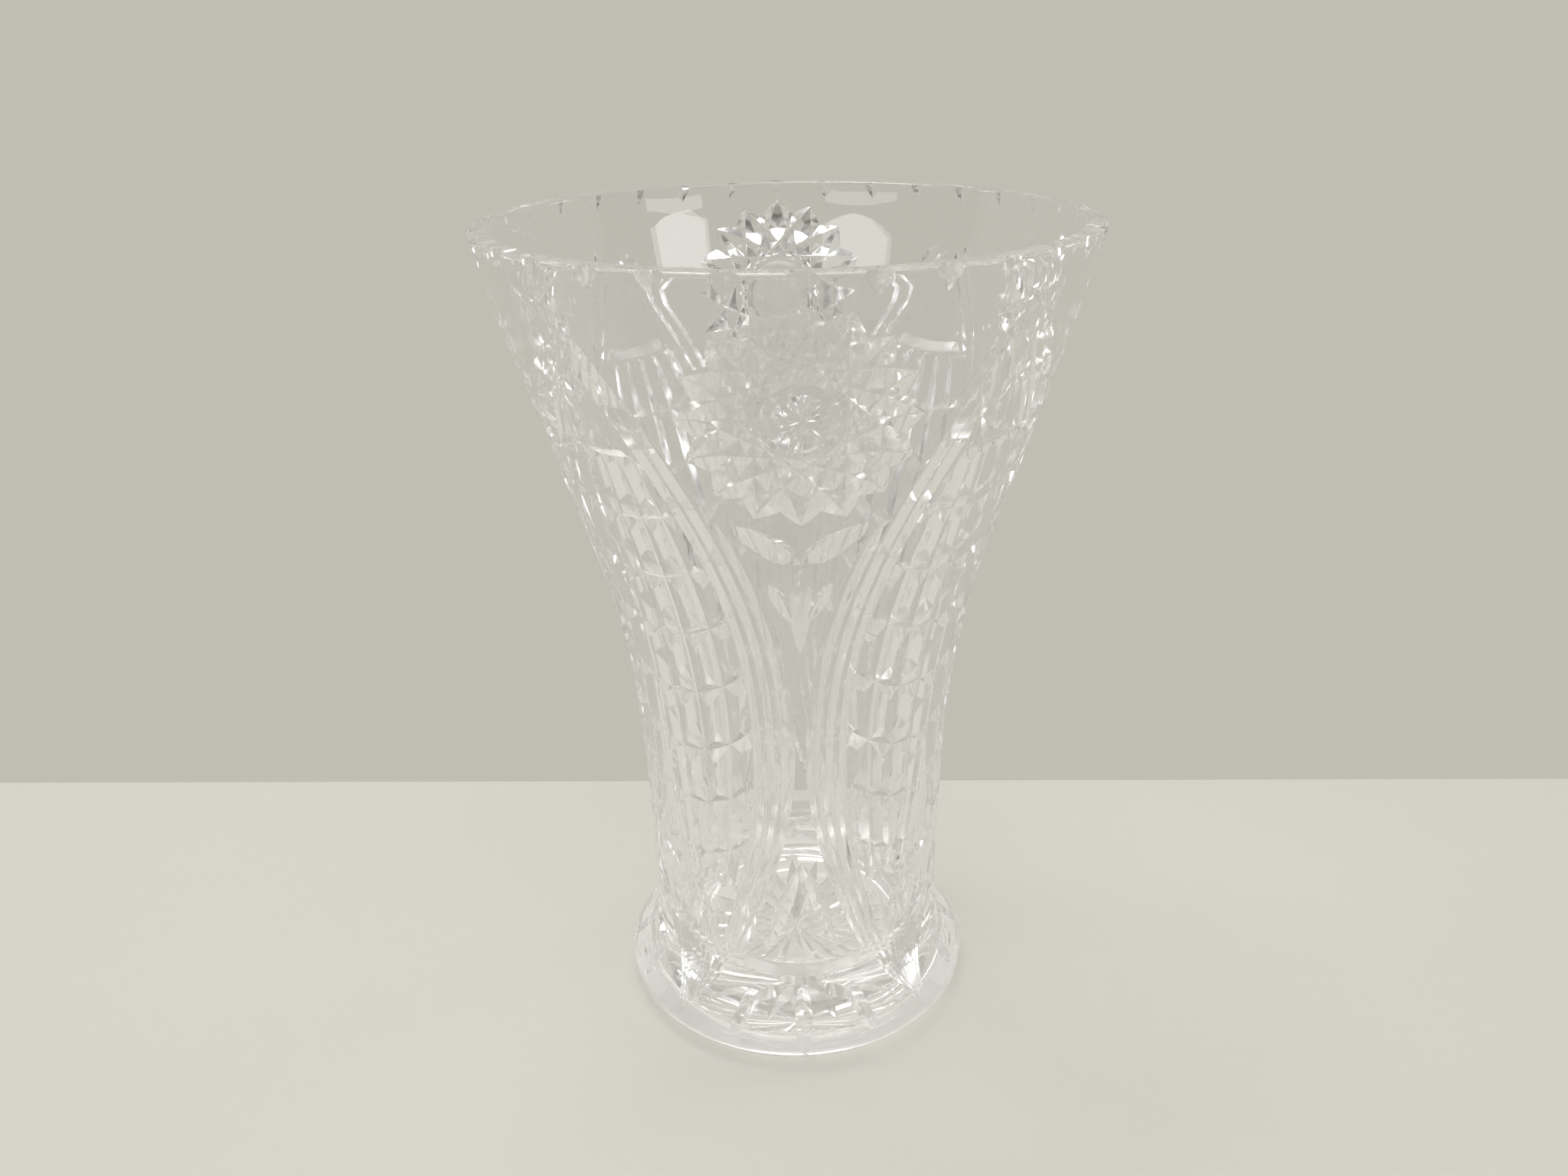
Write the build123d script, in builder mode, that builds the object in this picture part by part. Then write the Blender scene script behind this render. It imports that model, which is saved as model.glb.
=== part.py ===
"""Cut crystal vase: one piece of lead crystal, blown thick and cut on the wheel.

Origin: centre of the foot, on the table. +Z runs up the vase, and one of the four hobstars
faces -Y. All sizes are millimetres and degrees.
"""
from build123d import *
from math import cos, radians, sin, tan
import os

# ---- Driving dimensions: the blank ----
height = 250.0            # table to rim
rim_diameter = 170.0      # outside, at the top edge
waist_diameter = 94.0     # outside, just above the foot
foot_diameter = 102.0     # flat ring that stands on the table
waist_height = 24.5       # narrowest level
rim_wall = 6.0            # glass at the rim
waist_wall = 7.5          # glass at the waist
floor_thickness = 20.0    # solid glass under the inside
floor_corner = 12.0       # inside radius between floor and wall
flare_angle = 14.0        # lean of the wall at the rim, from upright
rim_round = 1.0           # polished edge, inside and outside

# How far each end of an outline curve keeps its own direction
foot_bulge = 15.5         # outwards, above the table edge
foot_bulge_rise = 9.0
foot_neck = 15.0          # downwards, below the waist
waist_pull = 135.0        # upwards, above the waist
rim_pull = 114.0          # downwards along the lean, below the rim

# ---- Driving dimensions: the cutting ----
mitre_half_angle = 60.0   # each side of the V that a wheel's edge makes
notch_count = 32          # upright leaf cuts around the rim
notch_depth = 2.4
notch_wheel_radius = 20.0
panel_count = 4           # hobstars around the vase, with a panel between each two
foot_mitre_level = 31.0   # level cut above the foot, under each hobstar
foot_mitre_depth = 1.6
foot_mitre_arc = 44.0
base_hollow_diameter = 86.0
base_hollow_depth = 1.2
base_star_points = 24
base_star_diameter = 78.0
base_star_depth = 2.4

# ---- Derived sizes ----
rim_radius = rim_diameter / 2
waist_radius = waist_diameter / 2
foot_radius = foot_diameter / 2
bore_radius = waist_radius - waist_wall
bore_start = floor_thickness + floor_corner
lean = radians(flare_angle)
mitre_slope = tan(radians(mitre_half_angle))
groove_clearance = 2.0    # times its depth that a cutter stands out of the glass
curve_halvings = 40       # steps that find a level on the wall curve


def wall_points(low_radius, low_level, top_radius):
    """Four control points of a wall curve that rises upright and ends at the rim's lean."""
    return [
        (low_radius, low_level),
        (low_radius, waist_height + waist_pull),
        (top_radius - rim_pull * sin(lean), height - rim_pull * cos(lean)),
        (top_radius, height),
    ]


def wall_radius(level):
    """Outside radius of the wall at a level above the waist."""
    points = wall_points(waist_radius, waist_height, rim_radius)
    low, high = 0.0, 1.0
    for _ in range(curve_halvings):
        t = (low + high) / 2
        weights = ((1 - t) ** 3, 3 * t * (1 - t) ** 2, 3 * t * t * (1 - t), t ** 3)
        if sum(w * p[1] for w, p in zip(weights, points)) < level:
            low = t
        else:
            high = t
    return sum(w * p[0] for w, p in zip(weights, points))


def mitre_section(reach, back):
    """Corners of a V whose edge is at (reach, 0) and which opens backwards by a distance."""
    return [(reach, 0), (reach - back, back * mitre_slope), (reach - back, -back * mitre_slope)]


# ---- Cutting wheels ----
notch_back = (1 + groove_clearance) * notch_depth
with BuildPart() as notch_wheel:
    with BuildSketch(Plane.XZ):
        Polygon(*mitre_section(notch_wheel_radius, notch_back), align=None)
    revolve(axis=Axis.Z)

# The base wheel only meets the glass over the star, so a sector of it is enough
base_wheel_radius = (base_star_diameter / 2) ** 2 / (2 * base_star_depth)
base_back = groove_clearance * base_star_depth
base_wheel_arc = 20.0
with BuildPart() as base_wheel:
    with BuildSketch(Plane.XZ):
        Polygon(*mitre_section(base_wheel_radius, base_back), align=None)
    revolve(axis=Axis.Z, revolution_arc=base_wheel_arc)

# ---- The vase ----
with BuildPart() as vase_body:
    with BuildSketch(Plane.XZ) as section:
        with BuildLine():
            Line((0, 0), (foot_radius, 0))
            Bezier(
                (foot_radius, 0),
                (foot_radius + foot_bulge, foot_bulge_rise),
                (waist_radius, waist_height - foot_neck),
                (waist_radius, waist_height),
            )
            Bezier(*wall_points(waist_radius, waist_height, rim_radius))
            Line((rim_radius, height), (rim_radius - rim_wall, height))
            Bezier(*wall_points(bore_radius, bore_start, rim_radius - rim_wall)[::-1])
            RadiusArc(
                (bore_radius, bore_start),
                (bore_radius - floor_corner, floor_thickness),
                floor_corner,
            )
            Line((bore_radius - floor_corner, floor_thickness), (0, floor_thickness))
            Line((0, floor_thickness), (0, 0))
        make_face()
        fillet(section.vertices().group_by(Axis.Y)[-1], rim_round)
    revolve(axis=Axis.Z)

    # Underside: a shallow hollow inside the foot ring, with a star cut across it
    with BuildSketch(Plane.XY):
        Circle(base_hollow_diameter / 2)
    extrude(amount=base_hollow_depth, mode=Mode.SUBTRACT)
    wheel_centre = base_hollow_depth + base_star_depth - base_wheel_radius
    with PolarLocations(0, base_star_points // 2, angular_range=180):
        with Locations(Location((0, 0, wheel_centre), (90, 0, 0))):
            with Locations(Location((0, 0, 0), (0, 0, 90 - base_wheel_arc / 2))):
                add(base_wheel.part, mode=Mode.SUBTRACT)

    # Rim: upright leaf cuts, the first one on a hobstar's axis
    with PolarLocations(rim_radius + notch_wheel_radius - notch_depth, notch_count, start_angle=-90):
        with Locations(Location((0, 0, height), (90, 0, 0))):
            add(notch_wheel.part, mode=Mode.SUBTRACT)

    # Foot: a level mitre under each hobstar
    groove_reach = wall_radius(foot_mitre_level) - foot_mitre_depth
    with BuildSketch(Plane.XZ.rotated((0, 0, -90 - foot_mitre_arc / 2))):
        with Locations((0, foot_mitre_level)):
            Polygon(*mitre_section(groove_reach, -groove_clearance * foot_mitre_depth), align=None)
    foot_groove = revolve(axis=Axis.Z, revolution_arc=foot_mitre_arc, mode=Mode.PRIVATE)
    with PolarLocations(0, panel_count):
        add(foot_groove, mode=Mode.SUBTRACT)

vase_body.part.label = "vase_body"

os.makedirs("parts", exist_ok=True)
export_step(vase_body.part, "parts/vase_body.step")
print("glass volume, cm3:", round(vase_body.part.volume / 1000, 1))
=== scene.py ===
import bisect
from math import cos, degrees, hypot, pi, radians, sin, tan

import bmesh
import bpy
from mathutils import Matrix, Vector


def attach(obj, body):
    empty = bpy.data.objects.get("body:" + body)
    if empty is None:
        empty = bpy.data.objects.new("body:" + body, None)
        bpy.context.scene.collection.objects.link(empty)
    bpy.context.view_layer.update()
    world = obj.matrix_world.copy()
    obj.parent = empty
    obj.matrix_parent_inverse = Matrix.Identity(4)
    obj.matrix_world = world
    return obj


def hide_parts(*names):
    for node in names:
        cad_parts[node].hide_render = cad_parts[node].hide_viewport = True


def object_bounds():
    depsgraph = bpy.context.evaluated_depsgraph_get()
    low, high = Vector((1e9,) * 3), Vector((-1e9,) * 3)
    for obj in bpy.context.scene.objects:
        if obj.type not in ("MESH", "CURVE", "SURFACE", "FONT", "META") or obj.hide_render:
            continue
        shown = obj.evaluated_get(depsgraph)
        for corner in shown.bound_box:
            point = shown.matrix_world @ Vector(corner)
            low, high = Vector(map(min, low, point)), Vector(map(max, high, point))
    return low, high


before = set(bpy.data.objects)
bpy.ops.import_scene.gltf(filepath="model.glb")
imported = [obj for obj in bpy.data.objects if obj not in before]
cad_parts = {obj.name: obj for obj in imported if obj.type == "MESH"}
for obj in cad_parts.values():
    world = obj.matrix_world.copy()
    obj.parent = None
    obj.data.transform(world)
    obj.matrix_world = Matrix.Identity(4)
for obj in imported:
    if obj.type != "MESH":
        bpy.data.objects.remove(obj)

bl_info = {
    "name": "Cut Crystal Vase",
    "version": (1, 0, 0),
    "blender": (4, 5, 0),
    "location": "View3D > Sidebar > Crystal Vase",
    "description": "Blows a flared crystal vase and cuts its stars, leaves, arches and blocks",
    "category": "Add Mesh",
}

CAD_LOW, CAD_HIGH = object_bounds()
MM = 0.001
TURN = 2 * pi
QUARTERS = 4             # the cutting repeats in four quarters, each centred on a hobstar
PANEL_AXIS = 45.0        # degrees from a hobstar to the middle of the block panel


# ---------------------------------------------------------------- sizes and colours

class VaseBlank(bpy.types.PropertyGroup):
    """The glass before it is cut."""

    height: bpy.props.FloatProperty(
        name="Height", description="Table to rim", subtype="DISTANCE", unit="LENGTH",
        default=CAD_HIGH.z - CAD_LOW.z, min=0.05)
    rim_radius: bpy.props.FloatProperty(
        name="Rim Radius", description="Outside, at the top edge", subtype="DISTANCE",
        unit="LENGTH", default=85 * MM, min=0.02)
    waist_radius: bpy.props.FloatProperty(
        name="Waist Radius", description="Outside, just above the foot", subtype="DISTANCE",
        unit="LENGTH", default=47 * MM, min=0.01)
    foot_radius: bpy.props.FloatProperty(
        name="Foot Radius", description="Flat ring that stands on the table",
        subtype="DISTANCE", unit="LENGTH", default=51 * MM, min=0.01)
    waist_height: bpy.props.FloatProperty(
        name="Waist Height", description="Level of the narrowest part", subtype="DISTANCE",
        unit="LENGTH", default=24.5 * MM)
    rim_wall: bpy.props.FloatProperty(
        name="Rim Wall", description="Thickness of the glass at the rim", subtype="DISTANCE",
        unit="LENGTH", default=6 * MM)
    waist_wall: bpy.props.FloatProperty(
        name="Waist Wall", description="Thickness of the glass at the waist",
        subtype="DISTANCE", unit="LENGTH", default=7.5 * MM)
    floor_thickness: bpy.props.FloatProperty(
        name="Floor", description="Solid glass under the inside", subtype="DISTANCE",
        unit="LENGTH", default=20 * MM)
    floor_corner: bpy.props.FloatProperty(
        name="Floor Corner", description="Inside radius between floor and wall",
        subtype="DISTANCE", unit="LENGTH", default=12 * MM)
    flare: bpy.props.FloatProperty(
        name="Flare", description="Lean of the wall at the rim", subtype="ANGLE",
        unit="ROTATION", default=radians(14))
    facets: bpy.props.IntProperty(
        name="Round Steps", description="Steps around the blank", default=256, min=32)


class VaseCutting(bpy.types.PropertyGroup):
    """The wheels, and the motifs that they cut."""

    mitre_angle: bpy.props.FloatProperty(
        name="Mitre Half Angle", description="Each side of the V that the common wheel cuts",
        subtype="ANGLE", unit="ROTATION", default=radians(60))
    star_level: bpy.props.FloatProperty(
        name="Star Level", description="Height of the hobstar's centre", subtype="DISTANCE",
        unit="LENGTH", default=215 * MM)
    star_radius: bpy.props.FloatProperty(
        name="Star Radius", description="Centre to the points of the hobstar",
        subtype="DISTANCE", unit="LENGTH", default=29.5 * MM)
    star_points: bpy.props.IntProperty(
        name="Star Points", description="Points of the hobstar", default=16, min=6)
    star_skip: bpy.props.IntProperty(
        name="Star Skip", description="Points that each cut of the star passes over",
        default=6, min=2)
    star_angle: bpy.props.FloatProperty(
        name="Star Half Angle", description="Each side of the V of the hobstar's wheel",
        subtype="ANGLE", unit="ROTATION", default=radians(49))
    star_depth: bpy.props.FloatProperty(
        name="Star Depth", description="Deepest part of the star's cuts", subtype="DISTANCE",
        unit="LENGTH", default=3.2 * MM)
    arch_pitch: bpy.props.FloatProperty(
        name="Arch Pitch", description="Ridge to ridge of the three arch grooves",
        subtype="DISTANCE", unit="LENGTH", default=4 * MM)
    block_depth: bpy.props.FloatProperty(
        name="Block Depth", description="Depth of the rows and columns between the blocks",
        subtype="DISTANCE", unit="LENGTH", default=1.9 * MM)
    notches: bpy.props.IntProperty(
        name="Rim Notches", description="Leaf cuts around the rim", default=32, min=8)
    notch_depth: bpy.props.FloatProperty(
        name="Notch Depth", description="Depth of the leaf cuts at the rim",
        subtype="DISTANCE", unit="LENGTH", default=2.4 * MM)
    base_points: bpy.props.IntProperty(
        name="Base Star Points", description="Rays of the star under the base", default=24)


class VaseStage(bpy.types.PropertyGroup):
    """The floor, the backdrop and the light."""

    floor_colour: bpy.props.FloatVectorProperty(
        name="Floor", description="Colour of the table top", subtype="COLOR", size=3,
        default=(0.68, 0.667, 0.622), min=0, max=1)
    backdrop_colour: bpy.props.FloatVectorProperty(
        name="Backdrop", description="Colour of the wall paper", subtype="COLOR", size=3,
        default=(0.530, 0.512, 0.452), min=0, max=1)
    backdrop_distance: bpy.props.FloatProperty(
        name="Backdrop Distance", description="From the vase's axis to where the table ends",
        subtype="DISTANCE", unit="LENGTH", default=104 * MM)
    backdrop_turn: bpy.props.FloatProperty(
        name="Backdrop Turn", description="Turn of the table's far edge", subtype="ANGLE",
        unit="ROTATION", default=radians(-3.2))
    light: bpy.props.FloatProperty(
        name="Light", description="Strength of the light overhead", subtype="POWER",
        unit="POWER", default=8.0, min=0)


# ---------------------------------------------------------------- the outline of the blank

# How far each end of an outline curve keeps its own direction
FOOT_BULGE, FOOT_RISE, FOOT_NECK = 15.5 * MM, 9 * MM, 15 * MM
WAIST_PULL, RIM_PULL = 135 * MM, 114 * MM

EDGE_ROUND = 1 * MM      # polished edge of the rim, outside and inside
BASE_HOLLOW, HOLLOW_DEPTH = 43 * MM, 1.2 * MM
HOLLOW_LIP = ((0.3 * MM, 0.25 * MM), (0.9 * MM, 0.0))    # outwards from the hollow, and level
HOLLOW_RINGS = (0.25, 0.5, 0.75, 1.0)                    # shares of the hollow's radius
FLOOR_RINGS = (0.75, 0.5, 0.25)                          # shares of the flat inside floor
FOOT_STEPS, WALL_STEPS, BORE_STEPS, EDGE_STEPS, CORNER_STEPS = 22, 80, 44, 7, 8
CURVE_STEPS = 400        # for looking up the radius at a level
SLOPE_STEP = 0.3 * MM    # up and down, to measure the lean
JOIN_GAP = 0.5 * MM      # left between a wall's last step and the rounded edge


def bezier(points, steps):
    """Points along a cubic curve, both ends included."""
    found = []
    for i in range(steps + 1):
        t = i / steps
        weights = ((1 - t) ** 3, 3 * t * (1 - t) ** 2, 3 * t * t * (1 - t), t ** 3)
        found.append(tuple(sum(w * p[k] for w, p in zip(weights, points)) for k in (0, 1)))
    return found


def foot_points(blank):
    """Control points of the foot, from the table to the waist."""
    return [
        (blank.foot_radius, 0.0),
        (blank.foot_radius + FOOT_BULGE, FOOT_RISE),
        (blank.waist_radius, blank.waist_height - FOOT_NECK),
        (blank.waist_radius, blank.waist_height),
    ]


def wall_points(blank, low_radius, low_level, top_radius):
    """Control points of a wall that rises upright and ends at the rim's lean."""
    return [
        (low_radius, low_level),
        (low_radius, blank.waist_height + WAIST_PULL),
        (top_radius - RIM_PULL * sin(blank.flare), blank.height - RIM_PULL * cos(blank.flare)),
        (top_radius, blank.height),
    ]


class Skin:
    """The outside of the uncut blank, as radius and lean by level."""

    def __init__(self, blank):
        foot = bezier(foot_points(blank), CURVE_STEPS)
        wall = bezier(wall_points(blank, blank.waist_radius, blank.waist_height,
                                  blank.rim_radius), CURVE_STEPS)
        self.curve = foot + wall[1:]
        self.levels = [p[1] for p in self.curve]

    def radius(self, level):
        """Outside radius at a level, carried on straight past the rim and the table."""
        i = min(max(bisect.bisect(self.levels, level), 1), len(self.levels) - 1)
        (r0, z0), (r1, z1) = self.curve[i - 1], self.curve[i]
        return r0 + (r1 - r0) * (level - z0) / max(z1 - z0, 1e-9)

    def slope(self, level):
        """Growth of the radius with the level."""
        rise = self.radius(level + SLOPE_STEP) - self.radius(level - SLOPE_STEP)
        return rise / (2 * SLOPE_STEP)

    def point(self, angle, level):
        """Place on the outside, at degrees from the hobstar that faces -Y."""
        a = radians(angle)
        r = self.radius(level)
        return Vector((r * sin(a), -r * cos(a), level))

    def normal(self, angle, level):
        """Outward direction there."""
        a = radians(angle)
        return Vector((sin(a), -cos(a), -self.slope(level))).normalized()

    def step(self, angle, level, across, along):
        """Angle and level after a short move across and up the surface."""
        lean = hypot(1, self.slope(level))
        return angle + degrees(across / self.radius(level)), level + along / lean


def arc(centre_r, centre_z, radius, start, end, steps):
    """Points of an arc in the outline, from one angle to another, in degrees."""
    found = []
    for i in range(steps + 1):
        a = radians(start + (end - start) * i / steps)
        found.append((centre_r + radius * cos(a), centre_z + radius * sin(a)))
    return found


def blank_outline(blank):
    """The closed outline of the blank, from under the foot's middle to the inside floor."""
    foot = bezier(foot_points(blank), FOOT_STEPS)
    wall = bezier(wall_points(blank, blank.waist_radius, blank.waist_height,
                              blank.rim_radius), WALL_STEPS)
    bore = blank.waist_radius - blank.waist_wall
    inner_top = blank.rim_radius - blank.rim_wall
    inner = bezier(wall_points(blank, bore, blank.floor_thickness + blank.floor_corner,
                               inner_top), BORE_STEPS)
    lean = degrees(blank.flare)
    top = blank.height - EDGE_ROUND
    shift = EDGE_ROUND / cos(blank.flare)
    drop = EDGE_ROUND * tan(blank.flare)
    outer_arc = arc(blank.rim_radius - drop - shift, top, EDGE_ROUND, -lean, 90, EDGE_STEPS)
    inner_arc = arc(inner_top - drop + shift, top, EDGE_ROUND, 90, 180 - lean, EDGE_STEPS)
    floor_edge = bore - blank.floor_corner
    corner = arc(floor_edge, blank.floor_thickness + blank.floor_corner,
                 blank.floor_corner, 0, -90, CORNER_STEPS)
    outline = [(BASE_HOLLOW * s, HOLLOW_DEPTH) for s in HOLLOW_RINGS]
    outline += [(BASE_HOLLOW + out, level) for out, level in HOLLOW_LIP]
    outline += foot + wall[1:]
    outline = [p for p in outline if p[1] < outer_arc[0][1] - JOIN_GAP]
    outline += outer_arc + inner_arc
    outline += [p for p in inner[::-1] if p[1] < inner_arc[-1][1] - JOIN_GAP]
    outline += corner[1:]
    outline += [(floor_edge * s, blank.floor_thickness) for s in FLOOR_RINGS]
    return outline


def new_object(name, data):
    """An object that holds a mesh, a light or a camera, in the scene."""
    made = bpy.data.objects.new(name, data)
    bpy.context.scene.collection.objects.link(made)
    return made


def closed_outward(mesh):
    """Turns the faces of a closed mesh outwards."""
    shape = bmesh.new()
    shape.from_mesh(mesh)
    bmesh.ops.recalc_face_normals(shape, faces=shape.faces)
    if shape.calc_volume(signed=True) < 0:
        bmesh.ops.reverse_faces(shape, faces=shape.faces)
    shape.to_mesh(mesh)
    shape.free()


def blown_blank(blank):
    """The uncut vase: its outline turned about the upright axis."""
    outline = blank_outline(blank)
    count = blank.facets
    verts, faces = [], []
    for radius, level in outline:
        for k in range(count):
            a = TURN * k / count
            verts.append((radius * cos(a), radius * sin(a), level))
    for row in range(len(outline) - 1):
        for k in range(count):
            n = (k + 1) % count
            low, high = row * count, (row + 1) * count
            faces.append((low + k, low + n, high + n, high + k))
    under, inside = len(verts), len(verts) + 1
    verts += [(0, 0, outline[0][1]), (0, 0, outline[-1][1])]
    last = (len(outline) - 1) * count
    for k in range(count):
        n = (k + 1) % count
        faces.append((under, n, k))
        faces.append((inside, last + k, last + n))
    mesh = bpy.data.meshes.new("vase_blank")
    mesh.from_pydata(verts, [], faces)
    closed_outward(mesh)
    return new_object("vase_blank", mesh)


# ---------------------------------------------------------------- wheel cuts

CLEARANCE = 0.6 * MM     # how far a cutter stands out of the glass
STEEP = radians(49)      # half angle of the wheel for leaves and the foot
SHALLOW = radians(67)    # half angle of the wheel for the columns between blocks


def wheel_cut_nodes():
    """Sweeps the V of a wheel's edge along the path of its cut."""
    tree = bpy.data.node_groups.get("Wheel Cut")
    if tree:
        return tree
    tree = bpy.data.node_groups.new("Wheel Cut", "GeometryNodeTree")
    ports = tree.interface
    ports.new_socket("Path", in_out="INPUT", socket_type="NodeSocketGeometry")
    ports.new_socket("V Slope", in_out="INPUT", socket_type="NodeSocketFloat")
    ports.new_socket("Material", in_out="INPUT", socket_type="NodeSocketMaterial")
    ports.new_socket("Cut", in_out="OUTPUT", socket_type="NodeSocketGeometry")
    nodes, links = tree.nodes, tree.links
    start, end = nodes.new("NodeGroupInput"), nodes.new("NodeGroupOutput")
    to_curve = nodes.new("GeometryNodeMeshToCurve")
    upright = nodes.new("GeometryNodeSetCurveNormal")
    upright.mode = "FREE"
    facing = nodes.new("GeometryNodeInputNamedAttribute")
    facing.data_type = "FLOAT_VECTOR"
    facing.inputs["Name"].default_value = "facing"
    reach = nodes.new("GeometryNodeInputNamedAttribute")
    reach.data_type = "FLOAT"
    reach.inputs["Name"].default_value = "reach"
    sweep = nodes.new("GeometryNodeCurveToMesh")
    sweep.inputs["Fill Caps"].default_value = True
    edge = nodes.new("GeometryNodeCurvePrimitiveCircle")
    edge.inputs["Resolution"].default_value = 3
    place = nodes.new("GeometryNodeSetPosition")
    corner = nodes.new("GeometryNodeIndexSwitch")
    corner.data_type = "VECTOR"
    corner.index_switch_items.new()
    index = nodes.new("GeometryNodeInputIndex")
    left = nodes.new("ShaderNodeCombineXYZ")
    right = nodes.new("ShaderNodeCombineXYZ")
    flip = nodes.new("ShaderNodeMath")
    flip.operation = "MULTIPLY"
    flip.inputs[1].default_value = -1
    left.inputs["X"].default_value = 1
    right.inputs["X"].default_value = 1
    realize = nodes.new("GeometryNodeRealizeInstances")
    paint = nodes.new("GeometryNodeSetMaterial")
    links.new(start.outputs["Path"], to_curve.inputs["Mesh"])
    links.new(to_curve.outputs["Curve"], upright.inputs["Curve"])
    links.new(facing.outputs["Attribute"], upright.inputs["Normal"])
    links.new(upright.outputs["Curve"], sweep.inputs["Curve"])
    links.new(reach.outputs["Attribute"], sweep.inputs["Scale"])
    links.new(start.outputs["V Slope"], left.inputs["Y"])
    links.new(start.outputs["V Slope"], flip.inputs[0])
    links.new(flip.outputs["Value"], right.inputs["Y"])
    links.new(index.outputs["Index"], corner.inputs["Index"])
    links.new(left.outputs["Vector"], corner.inputs["1"])
    links.new(right.outputs["Vector"], corner.inputs["2"])
    links.new(edge.outputs["Curve"], place.inputs["Geometry"])
    links.new(corner.outputs["Output"], place.inputs["Position"])
    links.new(place.outputs["Geometry"], sweep.inputs["Profile Curve"])
    links.new(sweep.outputs["Mesh"], realize.inputs["Geometry"])
    links.new(realize.outputs["Geometry"], paint.inputs["Geometry"])
    links.new(start.outputs["Material"], paint.inputs["Material"])
    links.new(paint.outputs["Geometry"], end.inputs["Cut"])
    return tree


def repeat_nodes():
    """Repeats a cutter at equal turns around the upright axis."""
    tree = bpy.data.node_groups.get("Repeat Around")
    if tree:
        return tree
    tree = bpy.data.node_groups.new("Repeat Around", "GeometryNodeTree")
    ports = tree.interface
    ports.new_socket("Cutter", in_out="INPUT", socket_type="NodeSocketGeometry")
    ports.new_socket("Copies", in_out="INPUT", socket_type="NodeSocketInt")
    ports.new_socket("Material", in_out="INPUT", socket_type="NodeSocketMaterial")
    ports.new_socket("Cutters", in_out="OUTPUT", socket_type="NodeSocketGeometry")
    nodes, links = tree.nodes, tree.links
    start, end = nodes.new("NodeGroupInput"), nodes.new("NodeGroupOutput")
    single = nodes.new("GeometryNodeGeometryToInstance")
    copies = nodes.new("GeometryNodeDuplicateElements")
    copies.domain = "INSTANCE"
    share = nodes.new("ShaderNodeMath")
    share.operation = "DIVIDE"
    share.inputs[0].default_value = TURN
    turn = nodes.new("ShaderNodeMath")
    turn.operation = "MULTIPLY"
    about = nodes.new("ShaderNodeCombineXYZ")
    rotate = nodes.new("GeometryNodeRotateInstances")
    rotate.inputs["Local Space"].default_value = False
    realize = nodes.new("GeometryNodeRealizeInstances")
    paint = nodes.new("GeometryNodeSetMaterial")
    links.new(start.outputs["Cutter"], single.inputs["Geometry"])
    links.new(single.outputs["Instances"], copies.inputs["Geometry"])
    links.new(start.outputs["Copies"], copies.inputs["Amount"])
    links.new(start.outputs["Copies"], share.inputs[1])
    links.new(share.outputs["Value"], turn.inputs[0])
    links.new(copies.outputs["Duplicate Index"], turn.inputs[1])
    links.new(turn.outputs["Value"], about.inputs["Z"])
    links.new(copies.outputs["Geometry"], rotate.inputs["Instances"])
    links.new(about.outputs["Vector"], rotate.inputs["Rotation"])
    links.new(rotate.outputs["Instances"], realize.inputs["Geometry"])
    links.new(realize.outputs["Geometry"], paint.inputs["Geometry"])
    links.new(start.outputs["Material"], paint.inputs["Material"])
    links.new(paint.outputs["Geometry"], end.inputs["Cutters"])
    return tree


def add_nodes(obj, tree, **inputs):
    """Puts a node tree on an object, with its named inputs set by their identifiers."""
    modifier = obj.modifiers.new(tree.name, "NODES")
    modifier.node_group = tree
    for socket in tree.interface.items_tree:
        if socket.item_type == "SOCKET" and socket.in_out == "INPUT":
            key = socket.name.replace(" ", "_").lower()
            if key in inputs:
                modifier[socket.identifier] = inputs[key]


def settle(obj):
    """Turns an object's modifiers into a plain mesh and removes them."""
    view = bpy.context.evaluated_depsgraph_get()
    mesh = bpy.data.meshes.new_from_object(obj.evaluated_get(view), depsgraph=view)
    obj.modifiers.clear()
    obj.data = mesh


def discard(objects):
    """Deletes objects that were only tools."""
    for obj in objects:
        bpy.data.objects.remove(obj)


def combine(obj, others, operation):
    """Joins or subtracts closed shapes one after the other, each with its own finish."""
    for other in others:
        modifier = obj.modifiers.new(other.name, "BOOLEAN")
        modifier.operation = operation
        modifier.solver = "MANIFOLD"
        modifier.material_mode = "TRANSFER"
        modifier.object = other
    settle(obj)
    discard(others)


class Path:
    """The line that a wheel's edge follows through the glass."""

    def __init__(self, places, facings, depths, closed=False, angle=None):
        self.places, self.facings, self.depths = places, facings, depths
        self.closed, self.angle = closed, angle


def on_skin(skin, stations, closed=False, angle=None):
    """A path of (angle, level, depth) stations on the outside of the vase."""
    surface = [skin.point(a, z) for a, z, _ in stations]
    normals = [skin.normal(a, z) for a, z, _ in stations]
    depths = [d for _, _, d in stations]
    count = len(stations)
    places, facings = [], []
    for i in range(count):
        before, after = (i - 1) % count, (i + 1) % count
        if not closed:
            before, after = max(i - 1, 0), min(i + 1, count - 1)
        run = (surface[after] - surface[before]).normalized()
        across = normals[i].cross(run).normalized()
        facings.append(run.cross(across).normalized())
        places.append(surface[i] - normals[i] * depths[i])
    return Path(places, facings, depths, closed, angle)


def mirrored(stations):
    """The same cut on the other side of the hobstar's axis."""
    return [(-a, z, d) for a, z, d in stations]


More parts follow.
